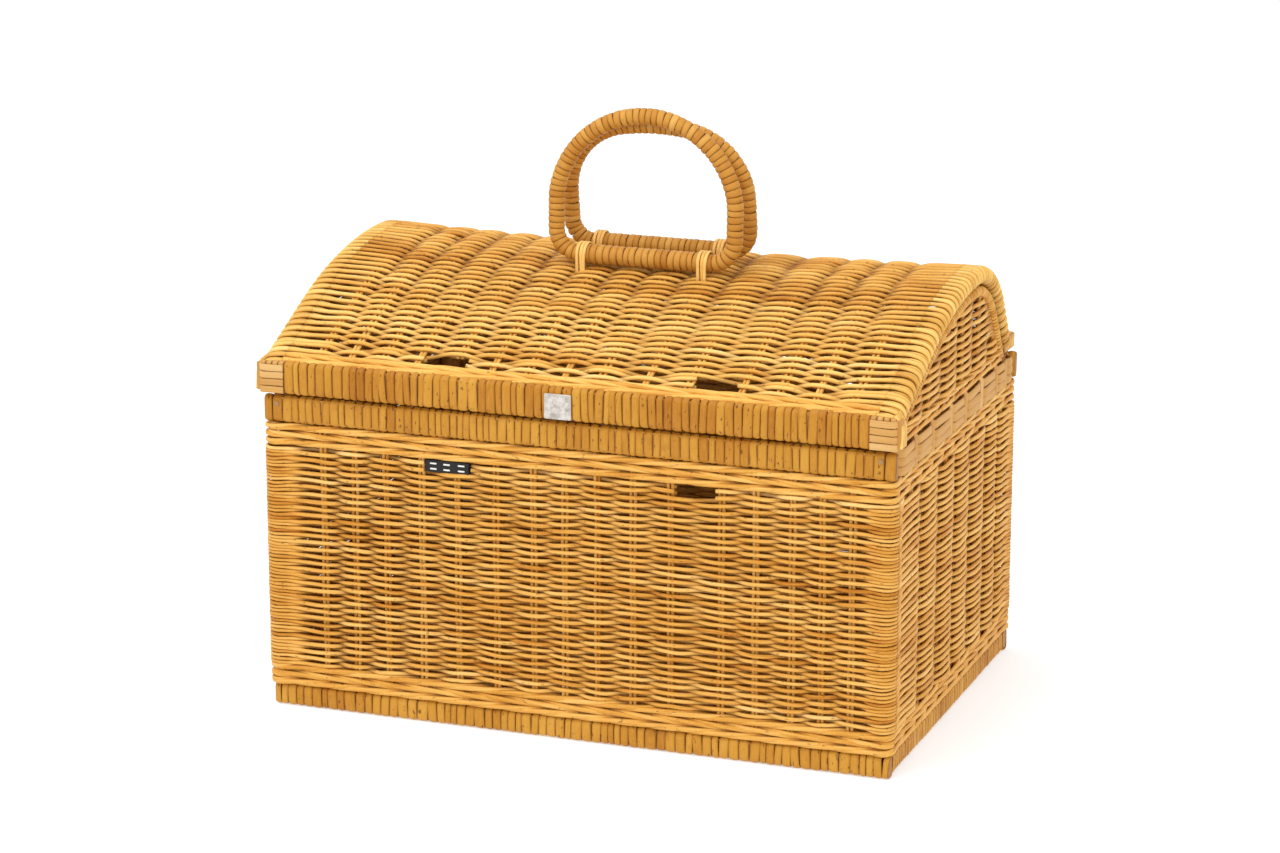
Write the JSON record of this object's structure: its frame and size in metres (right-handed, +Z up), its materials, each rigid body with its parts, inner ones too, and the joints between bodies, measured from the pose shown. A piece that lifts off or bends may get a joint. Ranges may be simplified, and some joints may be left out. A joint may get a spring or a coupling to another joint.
{
  "type": "wicker storage trunk",
  "caption": "Rectangular woven rattan trunk with a hinged barrel lid, cane-bound rims, arched woven ends and two folding carry handles on the crest.",
  "frame": {"origin": "centre of the underside of the base frame, the face the trunk stands on", "axes": "+X along the trunk's length to its right, +Y to the back (the hinge side), +Z up"},
  "size_m": [0.492, 0.3388, 0.4385],
  "materials": {
    "core_weave": "varnished rattan core, satin",
    "cane_binding": "varnished rattan peel, semi-gloss",
    "splint": "flat splint, matt",
    "rattan_rod": "peeled rattan pole, matt",
    "webbing": "black woven webbing with white stitching",
    "badge": "worn matt plate",
    "nails": "dull",
    "pins": "dull wire"
  },
  "bodies": {
    "lid": {"badge_plate": "badge", "front_handle_lashings": "cane_binding", "lid_corner_front_left": "splint", "lid_corner_front_right": "splint", "lid_corner_rear_left": "splint", "lid_corner_rear_right": "splint", "lid_edge_rod_left": "rattan_rod", "lid_edge_rod_right": "rattan_rod", "lid_edge_roll_left": "core_weave", "lid_edge_roll_right": "core_weave", "lid_front_wale": "core_weave", "lid_hinge_loops": "cane_binding", "lid_lath_front": "rattan_rod", "lid_lath_rear": "rattan_rod", "lid_slot_rows": "core_weave", "lid_weave": "core_weave", "lid_wrap_front": "cane_binding", "lid_wrap_rear": "cane_binding", "rear_handle_lashings": "cane_binding"},
    "trunk": {"base_floor": "core_weave", "base_lath_front": "rattan_rod", "base_lath_left": "rattan_rod", "base_lath_rear": "rattan_rod", "base_lath_right": "rattan_rod", "base_wrap_front": "cane_binding", "base_wrap_left": "cane_binding", "base_wrap_rear": "cane_binding", "base_wrap_right": "cane_binding", "corner_post_front_left": "rattan_rod", "corner_post_front_right": "rattan_rod", "corner_post_rear_left": "rattan_rod", "corner_post_rear_right": "rattan_rod", "front_slot_rows": "core_weave", "front_weave": "core_weave", "hinge_pins": "pins", "left_arch_rod": "rattan_rod", "left_arch_weave": "core_weave", "left_end_weave": "core_weave", "left_splint_band": "splint", "lower_wale": "core_weave", "rear_weave": "core_weave", "right_arch_rod": "rattan_rod", "right_arch_weave": "core_weave", "right_end_weave": "core_weave", "right_splint_band": "splint", "rim_hinge_loops": "cane_binding", "rim_lath_front": "rattan_rod", "rim_lath_rear": "rattan_rod", "rim_nails": "nails", "rim_wrap_front": "cane_binding", "rim_wrap_rear": "cane_binding", "strap_stub": "webbing", "upper_wale": "core_weave"},
    "front_handle": {"front_handle_core": "rattan_rod", "front_handle_wrap": "cane_binding"},
    "rear_handle": {"rear_handle_core": "rattan_rod", "rear_handle_wrap": "cane_binding"}
  },
  "joints": [
    {"name": "lid_hinge", "type": "hinge", "parent": "trunk", "child": "lid", "pos_m": [0, 0.169, 0.2395], "axis": [-1, 0, 0], "range_deg": [0, 110]},
    {"name": "front_handle_fold", "type": "hinge", "parent": "lid", "child": "front_handle", "pos_m": [-0.0005, -0.009, 0.327], "axis": [1, 0, 0], "range_deg": [0, 105]},
    {"name": "rear_handle_fold", "type": "hinge", "parent": "lid", "child": "rear_handle", "pos_m": [0.0017, 0.0205, 0.33], "axis": [-1, 0, 0], "range_deg": [0, 98]}
  ]
}
